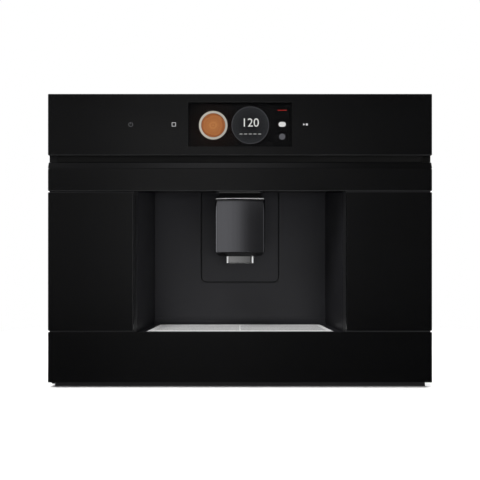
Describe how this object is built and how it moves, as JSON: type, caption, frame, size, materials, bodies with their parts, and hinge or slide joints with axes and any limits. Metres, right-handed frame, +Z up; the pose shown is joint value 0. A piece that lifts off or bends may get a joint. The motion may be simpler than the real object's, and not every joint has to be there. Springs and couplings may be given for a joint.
{
  "type": "built-in coffee machine",
  "caption": "Built-in coffee machine with a glass-fronted door hinged on the left, a cup niche with a height-adjustable outlet over a drip grille, and a glass control panel with a display.",
  "frame": {"origin": "centre of the machine's footprint, at the underside", "axes": "+X to the right as seen from the front, +Y to the back, +Z up; the glass front faces -Y"},
  "size_m": [0.594, 0.375, 0.455],
  "materials": {
    "galvanised_sheet": "galvanised",
    "screw_steel": "zinc plated",
    "black_frame": "satin",
    "fascia_plastic": "fine grain",
    "inlet_plastic": "matt",
    "hinge_steel": "satin",
    "black_glass": "polished, printed black behind",
    "clear_cover": "polished",
    "display": "lit picture",
    "carrier_plastic": "satin",
    "grip_metal": "dark anodised",
    "magnet": "matt",
    "bearing_plastic": "smooth",
    "niche_anthracite": "satin",
    "grille_steel": "brushed",
    "outlet_metal": "dark satin",
    "outlet_plastic": "satin",
    "spout_metal": "polished",
    "rod_steel": "ground",
    "tray_plastic": "matt",
    "clear_tank": "clear",
    "smoked_plastic": "smoked clear",
    "lid_plastic": "satin",
    "switch_plastic": "gloss",
    "brew_plastic": "matt",
    "chamber_plastic": "smooth",
    "spindle_steel": "cut thread",
    "motor_steel": "zinc plated",
    "latch_plastic": "matt",
    "grinder_plastic": "matt",
    "burr_ceramic": "fired",
    "knob_plastic": "matt",
    "pump_body": "matt",
    "saddle_rubber": "matt",
    "cast_heater": "as cast",
    "hose_silicone": "satin",
    "circuit_board": "lacquered"
  },
  "bodies": {
    "housing": {"base_pan": "galvanised_sheet", "side_panels": "galvanised_sheet", "top_cover": "galvanised_sheet", "rear_cover": "galvanised_sheet", "rear_screws": "screw_steel", "mains_inlet": "inlet_plastic", "front_frame": "black_frame", "inner_fascia": "fascia_plastic", "hinge_brackets": "hinge_steel", "control_glass": "black_glass", "control_carrier": "carrier_plastic", "display_lens": "clear_cover", "display_module": "display", "niche_liner": "niche_anthracite", "niche_back": "niche_anthracite", "outlet_panel": "niche_anthracite", "guide_rods": "rod_steel", "drip_tray": "tray_plastic", "grounds_container": "tray_plastic", "bay_shelves": "galvanised_sheet", "tank_dock": "tray_plastic", "water_tank": "clear_tank", "tank_lid": "lid_plastic", "switch_housing": "switch_plastic", "bean_container": "smoked_plastic", "bean_lid": "lid_plastic", "brew_frame": "brew_plastic", "brew_chamber": "chamber_plastic", "brew_motor": "motor_steel", "grinder_housing": "grinder_plastic", "burr_ring": "burr_ceramic", "grinder_motor": "motor_steel", "brackets": "galvanised_sheet", "pump": "pump_body", "pump_mounts": "saddle_rubber", "heater": "cast_heater", "hoses": "hose_silicone", "control_board": "circuit_board"},
    "door": {"grip_bar": "grip_metal", "band_pane": "black_glass", "side_panes": "black_glass", "bottom_pane": "black_glass", "door_frame": "carrier_plastic", "door_liner": "fascia_plastic", "door_magnets": "magnet", "liner_screws": "screw_steel", "hinge_bushes": "bearing_plastic"},
    "outlet": {"outlet_cover": "outlet_metal", "outlet_body": "outlet_plastic", "spout": "spout_metal", "outlet_carriage": "brew_plastic", "slot_blind": "outlet_plastic"},
    "grille": {"drip_grille": "grille_steel"},
    "rocker": {"mains_rocker": "switch_plastic"},
    "knob": {"grind_knob": "knob_plastic"},
    "burr": {"burr_cone": "burr_ceramic"},
    "spindle": {"brew_spindle": "spindle_steel"},
    "piston": {"brew_piston": "brew_plastic"},
    "latch": {"brew_latch": "latch_plastic"}
  },
  "joints": [
    {"name": "door_hinge", "type": "hinge", "parent": "housing", "child": "door", "pos_m": [-0.291, -0.1775, 0.18], "axis": [0, 0, -1], "range_deg": [0, 110]},
    {"name": "outlet_height", "type": "slide", "parent": "housing", "child": "outlet", "axis": [0, 0, 1], "range_m": [-0.035, 0.045]},
    {"name": "drip_grille_lift", "type": "slide", "parent": "housing", "child": "grille", "axis": [0, 0, 1], "range_m": [0, 0.06]},
    {"name": "grind_setting", "type": "hinge", "parent": "housing", "child": "knob", "pos_m": [-0.251, -0.1635, 0.246], "axis": [0, 1, 0], "range_deg": [0, 120]},
    {"name": "burr_spin", "type": "hinge", "parent": "housing", "child": "burr", "pos_m": [-0.2224, 0.0625, 0.235], "axis": [0, 0, 1], "continuous": true},
    {"name": "brew_spindle_spin", "type": "hinge", "parent": "housing", "child": "spindle", "pos_m": [-0.2224, -0.1245, 0.14], "axis": [0, 0, 1], "range_deg": [0, 1802]},
    {"name": "brew_piston_slide", "type": "slide", "parent": "housing", "child": "piston", "axis": [0, 0, 1], "range_m": [0, 0.025]},
    {"name": "brew_latch_slide", "type": "slide", "parent": "housing", "child": "latch", "axis": [1, 0, 0], "range_m": [0, 0.012]},
    {"name": "mains_rocker_tilt", "type": "hinge", "parent": "housing", "child": "rocker", "pos_m": [0.225, -0.1595, 0.048], "axis": [1, 0, 0], "range_deg": [0, 16]}
  ],
  "couplings": [
    {"joint": "brew_spindle_spin", "follows": "brew_piston_slide", "rad_per_m": 1256.6}
  ]
}
